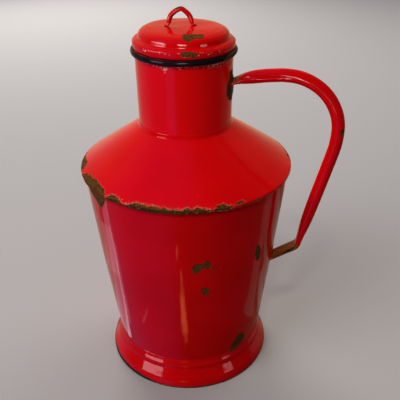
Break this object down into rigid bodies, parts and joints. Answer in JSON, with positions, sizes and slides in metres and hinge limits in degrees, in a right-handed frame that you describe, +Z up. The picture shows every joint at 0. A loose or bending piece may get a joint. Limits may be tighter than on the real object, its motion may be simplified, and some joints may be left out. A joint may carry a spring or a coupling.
{
  "type": "oil can with lift-off lid",
  "caption": "Tall enamelled sheet-steel oil can with a conical shoulder, narrow neck, flared foot, long tubular side handle and a lift-off lid with a wire loop.",
  "frame": {"origin": "centre of the foot, on the plane that the can stands on", "axes": "+Z up along the can's axis, +X from the axis towards the handle, +Y square to both"},
  "size_m": [0.2939, 0.24, 0.4345],
  "materials": {
    "red_enamel": "glossy vitreous enamel, chipped at the edges",
    "black_enamel": "glossy vitreous enamel, worn",
    "bare_steel": "bare steel, browned"
  },
  "bodies": {
    "can": {"body_wall": "red_enamel", "bottom_plate": "red_enamel", "foot_ring": "red_enamel", "foot_edge_roll": "black_enamel", "foot_edge_wire": "bare_steel", "shoulder": "red_enamel", "neck_tube": "red_enamel", "neck_rim_bead": "black_enamel", "neck_rim_wire": "bare_steel", "upper_handle_plate": "bare_steel", "lower_handle_plate": "red_enamel", "handle_tube": "red_enamel"},
    "lid": {"lid_pan": "red_enamel", "lid_collar": "red_enamel", "lid_loop": "red_enamel"}
  },
  "joints": [
    {"name": "lid_lift", "type": "slide", "parent": "can", "child": "lid", "axis": [0, 0, 1], "range_m": [0, 0.12]}
  ]
}
